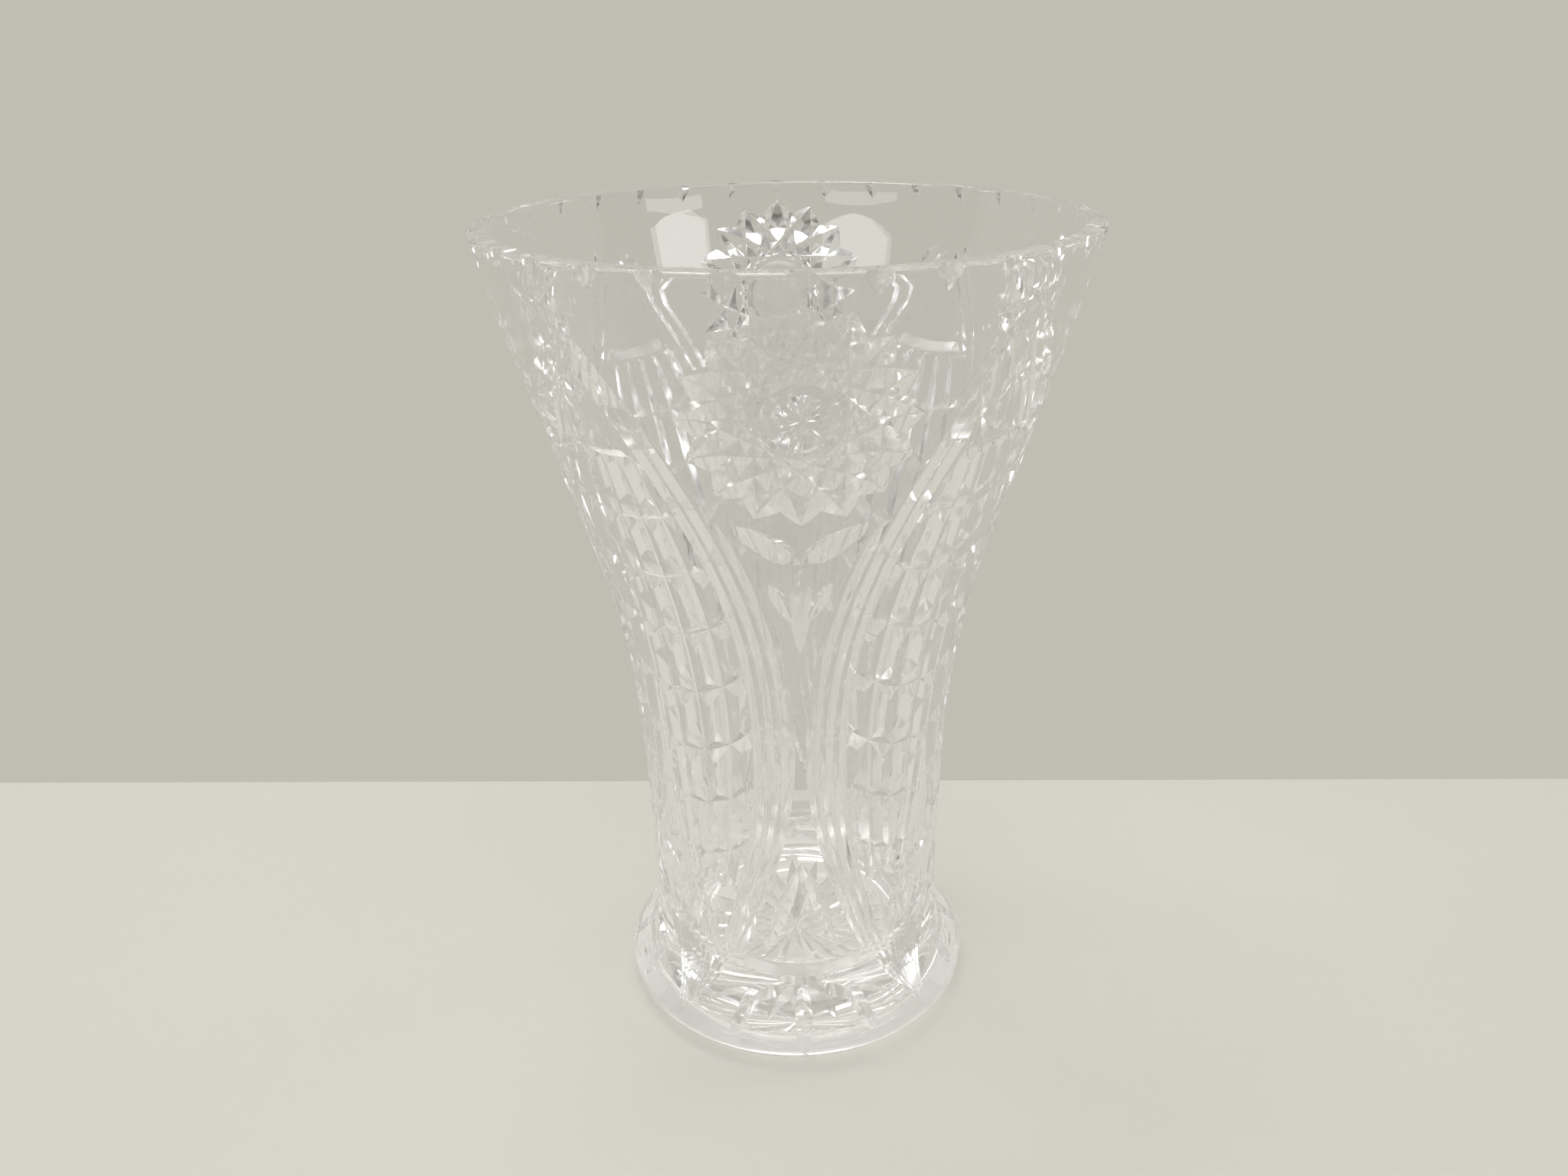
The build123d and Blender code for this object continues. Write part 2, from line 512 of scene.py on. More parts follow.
def wheel_cut(path, cutting, glass):
    """The closed shape that a wheel takes out along a path."""
    count = len(path.places)
    edges = [(i, i + 1) for i in range(count - 1)]
    if path.closed:
        edges.append((count - 1, 0))
    mesh = bpy.data.meshes.new("wheel_path")
    mesh.from_pydata(path.places, edges, [])
    facing = mesh.attributes.new("facing", "FLOAT_VECTOR", "POINT")
    facing.data.foreach_set("vector", [x for n in path.facings for x in n])
    reach = mesh.attributes.new("reach", "FLOAT", "POINT")
    reach.data.foreach_set("value", [d + CLEARANCE for d in path.depths])
    obj = new_object("wheel_cut", mesh)
    add_nodes(obj, wheel_cut_nodes(), v_slope=tan(path.angle or cutting.mitre_angle),
              material=glass)
    settle(obj)
    closed_outward(obj.data)
    return obj


def cut_set(name, paths, copies, cutting, glass):
    """One closed cutter for all the paths of a motif, repeated around the vase."""
    cutters = [wheel_cut(path, cutting, glass) for path in paths]
    whole = cutters[0]
    if len(cutters) > 1:
        combine(whole, cutters[1:], "UNION")
    whole.name = name
    if copies > 1:
        add_nodes(whole, repeat_nodes(), copies=copies, material=glass)
        settle(whole)
    return whole


# ---------------------------------------------------------------- shapes of single cuts

def leaf(t, peak=0.5):
    """Depth share of a leaf cut: nothing at both ends, all at the peak."""
    side = (peak - t) / peak if t < peak else (t - peak) / (1 - peak)
    return 1 - side * side


def faded(distance, total, fade_in, fade_out):
    """Depth share of a long cut that rises and dies away over the given lengths."""
    share = 1.0
    if fade_in > 0:
        share = min(share, distance / fade_in)
    if fade_out > 0:
        share = min(share, (total - distance) / fade_out)
    share = max(share, 0.0)
    return 1 - (1 - share) ** 2


def smooth_line(points, steps):
    """Even points along a smooth curve through (angle, level) points."""
    found = []
    last = len(points) - 1
    for i in range(steps + 1):
        s = last * i / steps
        k = min(int(s), last - 1)
        t = s - k
        p0, p1 = points[max(k - 1, 0)], points[k]
        p2, p3 = points[k + 1], points[min(k + 2, last)]
        found.append(tuple(
            0.5 * (2 * b + (c - a) * t + (2 * a - 5 * b + 4 * c - d) * t * t
                   + (3 * b - a - 3 * c + d) * t ** 3)
            for a, b, c, d in zip(p0, p1, p2, p3)))
    return found


def line_lengths(skin, line):
    """Distance along a line on the glass at each of its points."""
    run = [0.0]
    for (a0, z0), (a1, z1) in zip(line, line[1:]):
        run.append(run[-1] + (skin.point(a1, z1) - skin.point(a0, z0)).length)
    return run


def long_cut(skin, line, depth, fade_in, fade_out):
    """Stations of a cut along a line, dying away at its ends."""
    run = line_lengths(skin, line)
    return [(a, z, depth * faded(d, run[-1], fade_in, fade_out))
            for (a, z), d in zip(line, run)]


def leaf_cut(start, end, depth, peak=0.5, steps=12):
    """Stations of a straight leaf-shaped cut between two (angle, level) points."""
    stations = []
    for i in range(steps + 1):
        t = i / steps
        stations.append((start[0] + (end[0] - start[0]) * t,
                         start[1] + (end[1] - start[1]) * t,
                         depth * leaf(t, peak)))
    return stations


# ---------------------------------------------------------------- motifs

# Places are degrees around from a hobstar's axis, and levels that are shares of the height h

def star_place(skin, cutting, x, y):
    """Angle and level of a point in the hobstar's own flat layout."""
    lean = hypot(1, skin.slope(cutting.star_level))
    level = cutting.star_level + y / lean
    return degrees(x / skin.radius(level)), level


STAR_STEPS = 20
STAR_FADE, STAR_RISE = 0.38, 0.55         # shares: run-in of a cut, and how it lifts midway
RING_RADIUS, RING_DEPTH, RING_STEPS = 8.8 * MM, 0.9 * MM, 48
ROSETTE_RADIUS, ROSETTE_DEPTH, ROSETTE_CUTS, ROSETTE_STEPS = 7.6 * MM, 0.55 * MM, 8, 12


def hobstar(skin, cutting):
    """Crossing mitres from point to point, a ring around the hub and a rosette inside it."""
    points, radius = cutting.star_points, cutting.star_radius
    paths = []
    for i in range(points):
        a, b = TURN * i / points, TURN * (i + cutting.star_skip) / points
        x0, y0, x1, y1 = radius * sin(a), radius * cos(a), radius * sin(b), radius * cos(b)
        stations = []
        for k in range(STAR_STEPS + 1):
            t = k / STAR_STEPS
            place = star_place(skin, cutting, x0 + (x1 - x0) * t, y0 + (y1 - y0) * t)
            near = min(t, 1 - t) * 2
            share = faded(near, 1, STAR_FADE, 0) * (1 - STAR_RISE * near * near)
            stations.append((*place, cutting.star_depth * share))
        paths.append(on_skin(skin, stations, angle=cutting.star_angle))
    ring = []
    for k in range(RING_STEPS):
        a = TURN * k / RING_STEPS
        ring.append((*star_place(skin, cutting, RING_RADIUS * sin(a), RING_RADIUS * cos(a)),
                     RING_DEPTH))
    paths.append(on_skin(skin, ring, closed=True))
    for i in range(ROSETTE_CUTS):
        a = pi * i / ROSETTE_CUTS
        stations = []
        for k in range(ROSETTE_STEPS + 1):
            t = k / ROSETTE_STEPS
            s = ROSETTE_RADIUS * (2 * t - 1)
            stations.append((*star_place(skin, cutting, s * sin(a), s * cos(a)),
                             ROSETTE_DEPTH * leaf(t)))
        paths.append(on_skin(skin, stations))
    return paths


def leaf_spray(skin, h):
    """The V of leaves and the tulip below a hobstar."""
    cuts = [
        leaf_cut((0, 0.700 * h), (14.5, 0.745 * h), 3.2 * MM, 0.38),
        leaf_cut((10.5, 0.720 * h), (14.2, 0.742 * h), 1.2 * MM),
        leaf_cut((1.5, 0.620 * h), (7.5, 0.675 * h), 1.8 * MM, 0.65),
    ]
    cuts += [mirrored(c) for c in cuts]
    cuts.append(leaf_cut((0, 0.580 * h), (0, 0.695 * h), 2.6 * MM, 0.65, 16))
    return [on_skin(skin, c, angle=STEEP) for c in cuts]


ARCH_WIDTH, ARCH_MIDDLE = 29.6, 0.46      # half width in degrees and level of the widest part
ARCH_UP, ARCH_DOWN = 0.455, 0.415         # reach above and below that, in shares of height
ARCH_STEPS, ARCH_SIGHT = 96, 0.002        # the sight, a share of height, finds the direction
ARCH_OVERRUN = 0.5                        # degrees that a groove may run past the middle
ARCH_LOWEST = 2 * MM                      # no groove runs further down
ARCH_CLOSING = ((0.045, 0.30), (0.10, 0.50), (0.17, 0.65), (0.25, 0.80), (0.40, 1.0), (1.0, 1.0))


def arch_half_width(share):
    """Half width of the block panel, in degrees, at a share of the height."""
    reach = ARCH_UP if share > ARCH_MIDDLE else ARCH_DOWN
    return ARCH_WIDTH * (1 - ((share - ARCH_MIDDLE) / reach) ** 2)


def arch_narrowing(share):
    """Width of the arch grooves at a share of the height: they close up towards the foot."""
    for (s0, w0), (s1, w1) in zip(ARCH_CLOSING, ARCH_CLOSING[1:]):
        if share <= s1:
            return w0 + (w1 - w0) * max(share - s0, 0) / (s1 - s0)
    return 1.0


def arch_line(skin, h, offset, low, high):
    """A groove's line beside the block panel, an offset outside its edge."""
    line = []
    for i in range(ARCH_STEPS + 1):
        share = low + (high - low) * i / ARCH_STEPS
        angle = PANEL_AXIS - arch_half_width(share)
        level = share * h
        above, below = share + ARCH_SIGHT, share - ARCH_SIGHT
        ahead = skin.point(PANEL_AXIS - arch_half_width(above), above * h)
        back = skin.point(PANEL_AXIS - arch_half_width(below), below * h)
        run = (ahead - back).normalized()
        side = skin.normal(angle, level).cross(run).normalized()
        a = radians(angle)
        around = Vector((cos(a), sin(a), 0))
        across = side.dot(around)
        up = side.cross(around).dot(skin.normal(angle, level))
        reach = offset * arch_narrowing(share)
        sign = -1 if across > 0 else 1
        moved = skin.step(angle, level, sign * across * reach, -sign * up * reach)
        if moved[0] <= PANEL_AXIS + ARCH_OVERRUN and moved[1] > ARCH_LOWEST:
            line.append(moved)
    return line


def arch_grooves(skin, h, cutting, orders, low, high, fade_in, fade_out):
    """Parallel arch grooves on one side of a block panel."""
    cuts = []
    for order in orders:
        offset = (order + 0.5) * cutting.arch_pitch
        line = arch_line(skin, h, offset, low, high)
        run = line_lengths(skin, line)
        full = cutting.arch_pitch / 2 / tan(cutting.mitre_angle)
        cuts.append([
            (a, z, full * arch_narrowing(z / h) * faded(d, run[-1], fade_in, fade_out))
            for (a, z), d in zip(line, run)])
    return cuts


def about_panel(stations):
    """The same cut mirrored about the middle of the block panel."""
    return [(2 * PANEL_AXIS - a, z, d) for a, z, d in stations]


BLOCK_ROWS = (0.800, 0.728, 0.655, 0.580, 0.500, 0.420, 0.345, 0.270)    # shares of height
BLOCK_COLUMNS = (0.0, 0.355, 0.71)        # shares of the panel's half width
COLUMN_LOW, COLUMN_HIGH, COLUMN_STEPS = 0.235, 0.81, 40
ROW_LIFT, ROW_REACH, ROW_STEPS = 0.04, 27.0, 24    # a row lifts by that share at that angle
ROW_WIDENING = 0.02                       # a row is as wide as the panel is this share above


def block_panel(skin, h, cutting):
    """Arch grooves, rows and columns of blocks and the fan at the foot of one panel."""
    cuts = arch_grooves(skin, h, cutting, (0, 1), 0.045, 0.915, 3 * MM, 3 * MM)
    depth = cutting.block_depth
    columns = []
    for share in BLOCK_COLUMNS:
        line = []
        for i in range(COLUMN_STEPS + 1):
            s = COLUMN_LOW + (COLUMN_HIGH - COLUMN_LOW) * i / COLUMN_STEPS
            line.append((PANEL_AXIS - share * arch_half_width(s), s * h))
        columns.append(long_cut(skin, line, depth, 4 * MM, 4 * MM))
    fan_foot = (PANEL_AXIS, 0.042 * h)
    for end in ((32.5, 0.200 * h), (38.5, 0.195 * h)):
        cuts.append(leaf_cut(fan_foot, end, 1.5 * MM, 0.55, 16))
    cuts.append(leaf_cut((34.5, 0.180 * h), (46.0, 0.243 * h), 1.2 * MM))
    cuts += [about_panel(c) for c in cuts]
    cuts.append(leaf_cut(fan_foot, (PANEL_AXIS, 0.178 * h), 1.7 * MM, 0.55, 16))
    for row in BLOCK_ROWS:
        line = []
        half = arch_half_width(row + ROW_WIDENING)
        for i in range(ROW_STEPS + 1):
            w = half * (2 * i / ROW_STEPS - 1)
            line.append((PANEL_AXIS + w, (row + ROW_LIFT * (w / ROW_REACH) ** 2) * h))
        cuts.append(long_cut(skin, line, depth, 2 * MM, 2 * MM))
    columns += [about_panel(c) for c in columns[1:]]
    return ([on_skin(skin, c) for c in cuts]
            + [on_skin(skin, c, angle=SHALLOW) for c in columns])


def outer_arch(skin, h, cutting):
    """Stations of the third arch groove, which dies away below the leaves and above the foot."""
    return arch_grooves(skin, h, cutting, (2,), 0.135, 0.735, 8 * MM, 10 * MM)[0]


def foot_cuts(skin, h):
    """The tent, the scallops, the lower level cut and the split below a hobstar."""
    tent = leaf_cut((0, 0.288 * h), (13.5, 0.148 * h), 2.0 * MM, 0.5, 16)
    scallop_line = smooth_line(
        [(7, 0.097 * h), (12, 0.089 * h), (17, 0.082 * h), (20, 0.072 * h),
         (22, 0.056 * h), (23.5, 0.036 * h)], 26)
    scallop = long_cut(skin, scallop_line, 2.2 * MM, 6 * MM, 4 * MM)
    flute = leaf_cut((9.5, 0.046 * h), (18.5, 0.044 * h), 0.5 * MM)
    cuts = [tent, scallop, flute]
    cuts += [mirrored(c) for c in cuts]
    lower_level = smooth_line([(-11.5, 0.111 * h), (0, 0.105 * h), (11.5, 0.111 * h)], 16)
    cuts.append(long_cut(skin, lower_level, 1.6 * MM, 5 * MM, 5 * MM))
    cuts.append(leaf_cut((0, 0.104 * h), (0, 0.018 * h), 2.4 * MM, 0.5, 16))
    return [on_skin(skin, c, angle=STEEP) for c in cuts]


def level_band(skin, h):
    """The level cut above a hobstar's foot, turned up at its ends."""
    line = smooth_line(
        [(-22.5, 0.136 * h), (-19, 0.129 * h), (-10, 0.123 * h), (0, 0.121 * h),
         (10, 0.123 * h), (19, 0.129 * h), (22.5, 0.136 * h)], 36)
    return [on_skin(skin, long_cut(skin, line, 1.7 * MM, 3 * MM, 3 * MM))]


NOTCH_WHEEL = 20 * MM
NOTCH_START, NOTCH_SWEEP, NOTCH_STEPS = -12, 50, 16     # degrees of the wheel, from above the rim
NOTCH_EXTRA = 1.5 * MM                                  # that the cutter stands further out


def rim_notch(blank, cutting):
    """An upright leaf cut through the rim, made by a wheel that stands in front of it."""
    centre = blank.rim_radius + NOTCH_WHEEL - cutting.notch_depth
    places, facings, depths = [], [], []
    for i in range(NOTCH_STEPS + 1):
        a = radians(NOTCH_START + NOTCH_SWEEP * i / NOTCH_STEPS)
        radius = centre - NOTCH_WHEEL * cos(a)
        places.append(Vector((0, -radius, blank.height - NOTCH_WHEEL * sin(a))))
        facings.append(Vector((0, -cos(a), sin(a))))
        depths.append(cutting.notch_depth + NOTCH_EXTRA)
    return Path(places, facings, depths)


BASE_REACH, BASE_DEPTH, BASE_STEPS = 39 * MM, 2.4 * MM, 16    # half length and depth of a ray


def base_star(cutting):
    """Straight cuts across the hollow under the base."""
    paths = []
    cuts = cutting.base_points // 2
    for i in range(cuts):
        a = pi * i / cuts
        places, facings, depths = [], [], []
        for k in range(BASE_STEPS + 1):
            s = 2 * k / BASE_STEPS - 1
            d = BASE_DEPTH * (1 - s * s)
            places.append(Vector((BASE_REACH * s * cos(a), BASE_REACH * s * sin(a),
                                  HOLLOW_DEPTH + d)))
            facings.append(Vector((0, 0, -1)))
            depths.append(d)
        paths.append(Path(places, facings, depths))
    return paths


# ---------------------------------------------------------------- finish

CRYSTAL_TINT, CRYSTAL_IOR = (0.986, 0.988, 0.993, 1), 1.54
SHADOW_TINT = (0.78, 0.78, 0.775, 1)      # light that the vase lets through to the table
BLOWN, WHEEL_CUT, SATIN = 0.0, 0.11, 0.4  # roughness of each finish
RING_GROUND = 0.35                        # roughness of the ring that stands on the table
RING_LEVELS = (0.2 * MM, 1.2 * MM)        # where the ground ring starts to clear, and is clear
RIPPLE_SCALE, RIPPLE_DETAIL = 90, 2       # faint waves left by blowing and polishing
RIPPLE_STRENGTH, RIPPLE_HEIGHT = 0.008, 0.6 * MM
SHARP_EDGE = radians(18)                  # edges that turn more than this stay crisp


def empty_material(name):
    """A material with no nodes but its output, with its nodes, links and output."""
    made = bpy.data.materials.new(name)
    made.use_nodes = True
    nodes, links = made.node_tree.nodes, made.node_tree.links
    nodes.clear()
    return made, nodes, links, nodes.new("ShaderNodeOutputMaterial")


def crystal_material(name, roughness):
    """Lead crystal with faint wheel ripple and a ground ring under the foot."""
    made, nodes, links, out = empty_material(name)
    glass = nodes.new("ShaderNodeBsdfPrincipled")
    glass.inputs["Base Color"].default_value = CRYSTAL_TINT
    glass.inputs["Transmission Weight"].default_value = 1.0
    glass.inputs["IOR"].default_value = CRYSTAL_IOR
    place = nodes.new("ShaderNodeTexCoord")
    split = nodes.new("ShaderNodeSeparateXYZ")
    ground = nodes.new("ShaderNodeMapRange")
    ground.inputs["From Min"].default_value = RING_LEVELS[0]
    ground.inputs["From Max"].default_value = RING_LEVELS[1]
    ground.inputs["To Min"].default_value = RING_GROUND
    ground.inputs["To Max"].default_value = roughness
    ripple = nodes.new("ShaderNodeTexNoise")
    ripple.inputs["Scale"].default_value = RIPPLE_SCALE
    ripple.inputs["Detail"].default_value = RIPPLE_DETAIL
    bump = nodes.new("ShaderNodeBump")
    bump.inputs["Strength"].default_value = RIPPLE_STRENGTH
    bump.inputs["Distance"].default_value = RIPPLE_HEIGHT
    clear = nodes.new("ShaderNodeBsdfTransparent")
    clear.inputs["Color"].default_value = SHADOW_TINT
    lamp = nodes.new("ShaderNodeLightPath")
    mix = nodes.new("ShaderNodeMixShader")
    links.new(place.outputs["Object"], split.inputs["Vector"])
    links.new(split.outputs["Z"], ground.inputs["Value"])
    links.new(ground.outputs["Result"], glass.inputs["Roughness"])
    links.new(place.outputs["Object"], ripple.inputs["Vector"])
    links.new(ripple.outputs["Fac"], bump.inputs["Height"])
    links.new(bump.outputs["Normal"], glass.inputs["Normal"])
    links.new(lamp.outputs["Is Shadow Ray"], mix.inputs["Fac"])
    links.new(glass.outputs["BSDF"], mix.inputs[1])
    links.new(clear.outputs["BSDF"], mix.inputs[2])
    links.new(mix.outputs["Shader"], out.inputs["Surface"])
    return made


class CRYSTAL_OT_vase(bpy.types.Operator):
    """Blow the vase and cut every motif into it"""

    bl_idname = "crystal.vase"
    bl_label = "Cut Crystal Vase"
    bl_options = {"REGISTER", "UNDO"}

    def execute(self, context):
        blank, cutting = context.scene.vase_blank, context.scene.vase_cutting
        skin = Skin(blank)
        h = blank.height
        glass = crystal_material("blown_crystal", BLOWN)
        facet = crystal_material("cut_crystal", WHEEL_CUT)
        satin = crystal_material("satin_crystal", SATIN)
        vase = blown_blank(blank)
        vase.data.materials.append(glass)
        arch = outer_arch(skin, h, cutting)
        motifs = [
            ("hobstars", hobstar(skin, cutting), QUARTERS, facet),
            ("leaf_sprays", leaf_spray(skin, h), QUARTERS, facet),
            ("block_panels", block_panel(skin, h, cutting), QUARTERS, facet),
            ("outer_arches_left", [on_skin(skin, mirrored(arch))], QUARTERS, facet),
            ("outer_arches_right", [on_skin(skin, arch)], QUARTERS, facet),
            ("foot_cuts", foot_cuts(skin, h), QUARTERS, facet),
            ("level_bands", level_band(skin, h), QUARTERS, satin),
            ("rim_notches", [rim_notch(blank, cutting)], cutting.notches, facet),
            ("base_star", base_star(cutting), 1, facet),
        ]
        cutters = [cut_set(name, paths, copies, cutting, finish)
                   for name, paths, copies, finish in motifs]
        combine(vase, cutters, "DIFFERENCE")
        mesh = vase.data
        vase.name = mesh.name = "cut_vase"
        for poly in mesh.polygons:
            poly.use_smooth = True
        mesh.set_sharp_from_angle(angle=SHARP_EDGE)
        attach(vase, "root")
        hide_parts("vase_body")
        return {"FINISHED"}


# ---------------------------------------------------------------- stage

# Lengths are metres, angles are degrees and powers are watts
TABLE_ROUGHNESS = 0.6
SWEEP_FLAT, SWEEP_BEND, SWEEP_TOP, SWEEP_STEPS = 1.6, 0.8, 2.2, 96
SWEEP_LEVEL = -0.2 * MM                   # just under the foot
SWEEP_RINGS = (0.1, 0.3, 0.6, 1.0)        # shares of the flat part

OVERHEAD_PLACE, OVERHEAD_SIZE, OVERHEAD_COLOUR = (-0.25, 0.35, 1.5), (0.7, 0.5), (1, 0.985, 0.95)
LIGHT_AIM = (0, 0, 0.12)
WINDOWS = (
    # name, turn from the front, width, level of the top edge, roll
    ("window_left", -36, 0.70, 0.712, 4.5),
    ("window_right", 49, 0.56, 0.684, -6.0),
)
WINDOW_DISTANCE, WINDOW_TALL, WINDOW_POWER, WINDOW_AIM = 1.2, 0.035, 0.16, (0, 0, 0.24)
CARDS = (
    # name, place, width and height, shade
    ("dark_room", (0, -0.80, 0.23), (1.2, 0.42), (0.10, 0.09, 0.09)),
    ("dark_side", (-0.75, -0.05, 0.18), (0.22, 0.34), (0.06, 0.06, 0.06)),
    ("dark_side", (0.75, -0.05, 0.18), (0.22, 0.34), (0.06, 0.06, 0.06)),
)
CARD_AIM = (0, 0, 0.15)
LAMPS = (
    # name, place, width and length, power
    ("ceiling", (0.1, -0.5, 1.5), (1.2, 0.8), 6.0),
    ("lamp_left", (-1.0, 0.3, 0.9), (0.22, 0.22), 1.1),
    ("lamp_right", (1.0, 0.5, 0.8), (0.22, 0.22), 1.1),
)
ROOM_COLOUR, ROOM_STRENGTH = (0.98, 0.97, 0.93, 1), 0.40

CAMERA_PLACE = (-0.01247, -0.34279, 0.29683)
CAMERA_HEADING, CAMERA_PITCH, CAMERA_ROLL = 88.308, 24.663, -0.990
CAMERA_LENS, CAMERA_SENSOR = 28.16, 36    # millimetres
CAMERA_NEAR, CAMERA_FAR = 0.01, 20
GLASS_BOUNCES, CLEAR_BOUNCES = 40, 48     # enough for light to find its way out of the facets


def sweep_material(stage):
    """Pale table top that turns into grey wall paper beyond the table's far edge."""
    made, nodes, links, out = empty_material("table_and_paper")
    table = nodes.new("ShaderNodeBsdfPrincipled")
    table.inputs["Base Color"].default_value = (*stage.floor_colour, 1)
    table.inputs["Roughness"].default_value = TABLE_ROUGHNESS
    paper = nodes.new("ShaderNodeEmission")
    paper.inputs["Color"].default_value = (*stage.backdrop_colour, 1)
    place = nodes.new("ShaderNodeTexCoord")
    ahead = nodes.new("ShaderNodeVectorMath")
    ahead.operation = "DOT_PRODUCT"
    turn = stage.backdrop_turn
    ahead.inputs[1].default_value = (-sin(turn), cos(turn), 0)
    edge = nodes.new("ShaderNodeMath")
    edge.operation = "GREATER_THAN"
    edge.inputs[1].default_value = stage.backdrop_distance
    mix = nodes.new("ShaderNodeMixShader")
    links.new(place.outputs["Object"], ahead.inputs[0])
    links.new(ahead.outputs["Value"], edge.inputs[0])
    links.new(edge.outputs["Value"], mix.inputs["Fac"])
    links.new(table.outputs["BSDF"], mix.inputs[1])
    links.new(paper.outputs["Emission"], mix.inputs[2])
    links.new(mix.outputs["Shader"], out.inputs["Surface"])
    return made


def round_sweep(stage):
    """A floor that curves up into a wall all around, far from the vase."""
    flat, bend, under, count = SWEEP_FLAT, SWEEP_BEND, SWEEP_LEVEL, SWEEP_STEPS
    outline = [(flat * s, under) for s in SWEEP_RINGS]
    outline += [(flat + bend * sin(radians(a)), under + bend * (1 - cos(radians(a))))
                for a in range(10, 91, 10)]
    outline.append((flat + bend, SWEEP_TOP))
    verts, faces = [(0, 0, under)], []
    for radius, level in outline:
        for k in range(count):
            a = TURN * k / count
            verts.append((radius * cos(a), radius * sin(a), level))
    for k in range(count):
        faces.append((0, 1 + k, 1 + (k + 1) % count))
    for row in range(len(outline) - 1):
        for k in range(count):
            n = (k + 1) % count
            low, high = 1 + row * count, 1 + (row + 1) * count
            faces.append((low + k, high + k, high + n, low + n))
    mesh = bpy.data.meshes.new("sweep")
    mesh.from_pydata(verts, [], faces)
    mesh.materials.append(sweep_material(stage))
    for poly in mesh.polygons:
        poly.use_smooth = True
    new_object("sweep", mesh)


def aimed(location, target):
    """Rotation of something at a location that looks at a target."""
    return (Vector(target) - Vector(location)).to_track_quat("-Z", "Y").to_euler()


def soft_light(name, location, target, size, power, colour=(1, 1, 1)):
    """A rectangular light that the camera doesn't see."""
    data = bpy.data.lights.new(name, "AREA")
    data.shape = "RECTANGLE"
    data.size, data.size_y = size
    data.energy = power
    data.color = colour
    made = new_object(name, data)
    made.location = location
    made.rotation_euler = aimed(location, target)
    made.visible_camera = False
    return made


def dark_card(name, location, size, shade):
    """A dark card that only the glass sees, so that its facets get dark edges."""
    w, h = size[0] / 2, size[1] / 2
    mesh = bpy.data.meshes.new(name)
    mesh.from_pydata([(-w, -h, 0), (w, -h, 0), (w, h, 0), (-w, h, 0)], [], [(0, 1, 2, 3)])
    made = new_object(name, mesh)
    mesh.transform(Matrix.LocRotScale(Vector(location), aimed(location, CARD_AIM), None))
    paint, nodes, links, out = empty_material(name)
    glow = nodes.new("ShaderNodeEmission")
    glow.inputs["Color"].default_value = (*shade, 1)
    links.new(glow.outputs["Emission"], out.inputs["Surface"])
    mesh.materials.append(paint)
    made.visible_camera = False
    made.visible_shadow = False
    made.visible_diffuse = False


def room_light():
    """Even pale light from the room."""
    world = bpy.data.worlds.new("room")
    bpy.context.scene.world = world
    world.use_nodes = True
    back = world.node_tree.nodes["Background"]
    back.inputs["Color"].default_value = ROOM_COLOUR
    back.inputs["Strength"].default_value = ROOM_STRENGTH


def place_camera():
    """The camera, in front of the vase and a little above its rim."""
    data = bpy.data.cameras.new("camera")
    data.sensor_width = CAMERA_SENSOR
    data.lens = CAMERA_LENS
    data.clip_start, data.clip_end = CAMERA_NEAR, CAMERA_FAR
    made = new_object("camera", data)
    heading, pitch, roll = radians(CAMERA_HEADING), radians(CAMERA_PITCH), radians(CAMERA_ROLL)
    forward = Vector((cos(heading) * cos(pitch), sin(heading) * cos(pitch), -sin(pitch)))
    level = forward.cross(Vector((0, 0, 1))).normalized()
    upright = level.cross(forward)
    right = cos(roll) * level + sin(roll) * upright
    up = -sin(roll) * level + cos(roll) * upright
    turn = Matrix((right, up, -forward)).transposed()
    made.matrix_world = Matrix.Translation(CAMERA_PLACE) @ turn.to_4x4()
    bpy.context.scene.camera = made


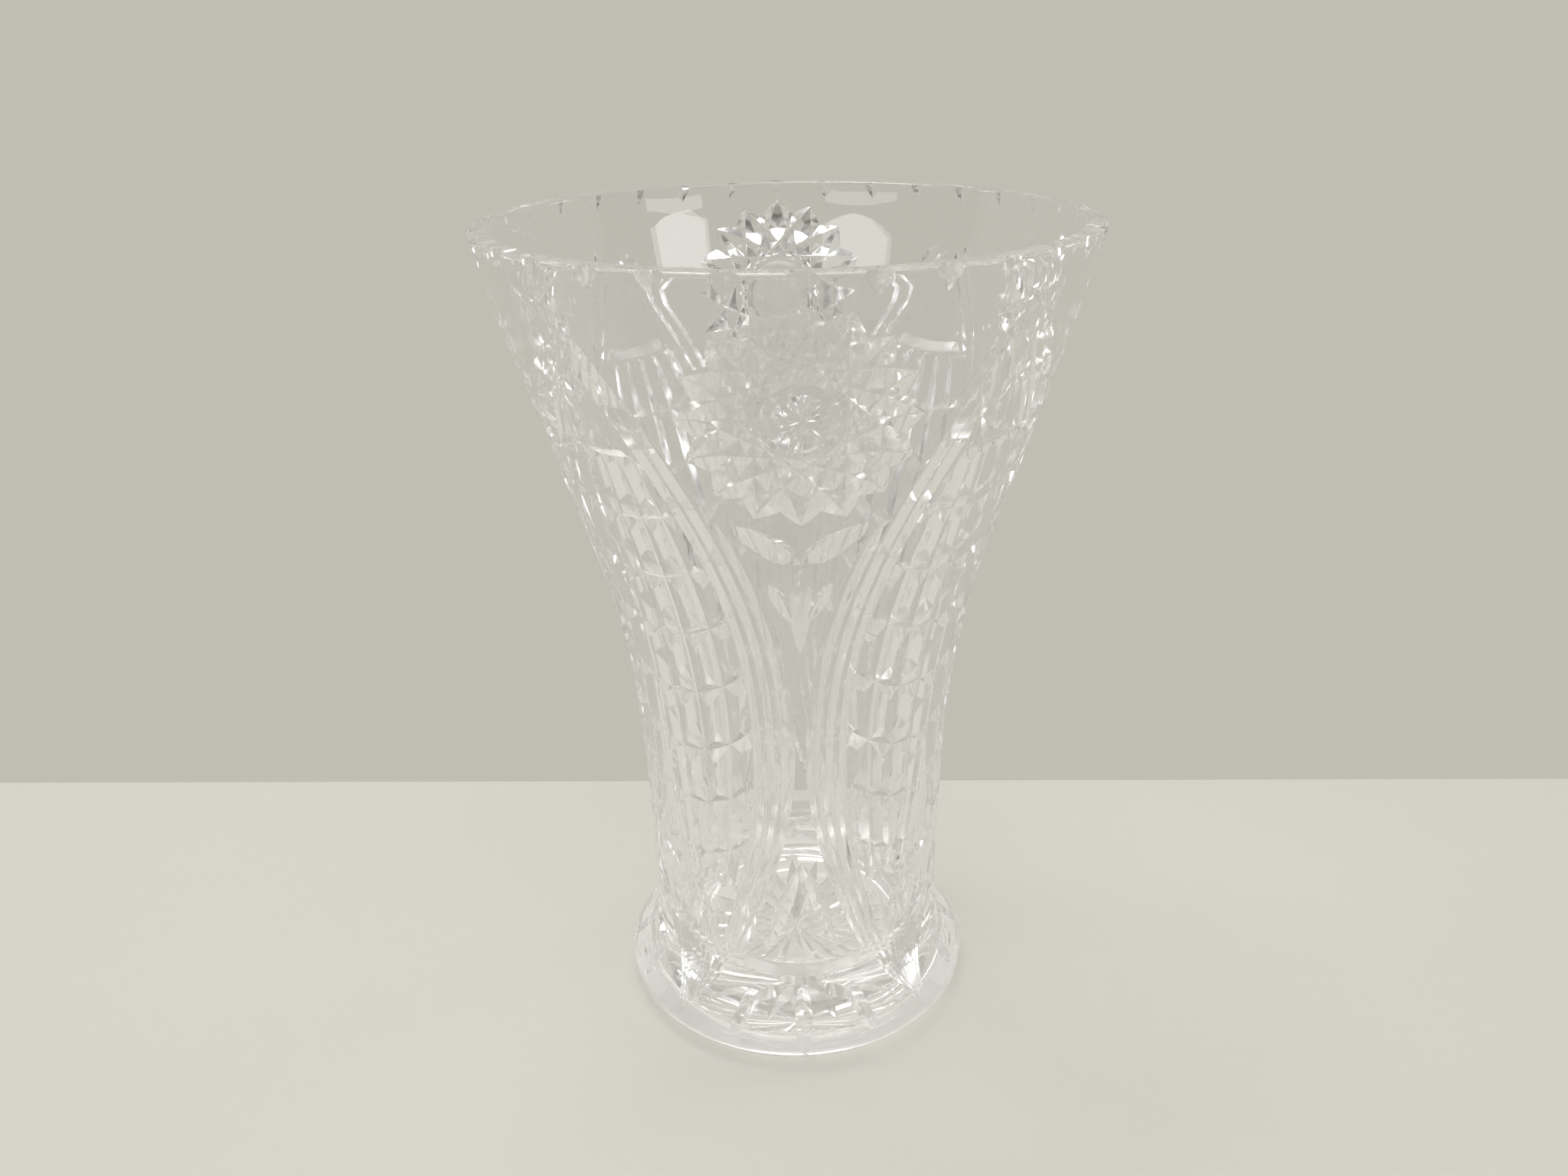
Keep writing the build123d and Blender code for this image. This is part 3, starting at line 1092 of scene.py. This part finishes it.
class CRYSTAL_OT_stage(bpy.types.Operator):
    """Lay the table and the paper, hang the lights and place the camera"""

    bl_idname = "crystal.stage"
    bl_label = "Stage"
    bl_options = {"REGISTER", "UNDO"}

    def execute(self, context):
        scene = context.scene
        stage = scene.vase_stage
        round_sweep(stage)
        soft_light("overhead", OVERHEAD_PLACE, LIGHT_AIM, OVERHEAD_SIZE, stage.light,
                   OVERHEAD_COLOUR)
        for name, turn, wide, top, roll in WINDOWS:
            a = radians(turn)
            place = (WINDOW_DISTANCE * sin(a), -WINDOW_DISTANCE * cos(a), top - WINDOW_TALL / 2)
            window = soft_light(name, place, WINDOW_AIM, (wide, WINDOW_TALL), WINDOW_POWER)
            window.rotation_euler.rotate_axis("Z", radians(roll))
        for card in CARDS:
            dark_card(*card)
        for name, place, size, power in LAMPS:
            soft_light(name, place, LIGHT_AIM, size, power)
        room_light()
        place_camera()
        scene.view_settings.view_transform = "Standard"
        scene.cycles.max_bounces = GLASS_BOUNCES
        scene.cycles.glossy_bounces = GLASS_BOUNCES
        scene.cycles.transmission_bounces = GLASS_BOUNCES
        scene.cycles.transparent_max_bounces = CLEAR_BOUNCES
        return {"FINISHED"}


# ---------------------------------------------------------------- panel and registration

class CRYSTAL_PT_sidebar(bpy.types.Panel):
    """The vase's operators and sizes"""

    bl_idname = "CRYSTAL_PT_sidebar"
    bl_label = "Crystal Vase"
    bl_space_type = "VIEW_3D"
    bl_region_type = "UI"
    bl_category = "Crystal Vase"

    def draw(self, context):
        layout = self.layout
        for operator in OPERATORS:
            layout.operator(operator.bl_idname)
        for group in (context.scene.vase_blank, context.scene.vase_cutting,
                      context.scene.vase_stage):
            box = layout.box()
            for name in group.__annotations__:
                box.prop(group, name)


GROUPS = {"vase_blank": VaseBlank, "vase_cutting": VaseCutting, "vase_stage": VaseStage}
OPERATORS = (CRYSTAL_OT_vase, CRYSTAL_OT_stage)
CLASSES = (*GROUPS.values(), *OPERATORS, CRYSTAL_PT_sidebar)


def register():
    """Registers the classes and hangs the sizes on the scene."""
    for cls in CLASSES:
        bpy.utils.register_class(cls)
    for name, cls in GROUPS.items():
        setattr(bpy.types.Scene, name, bpy.props.PointerProperty(type=cls))


def unregister():
    """Takes the sizes and the classes away again."""
    for name in GROUPS:
        delattr(bpy.types.Scene, name)
    for cls in reversed(CLASSES):
        bpy.utils.unregister_class(cls)


def main():
    """Registers the classes and makes every piece and the stage."""
    register()
    bpy.ops.crystal.vase()
    bpy.ops.crystal.stage()


if __name__ == "__main__":
    main()
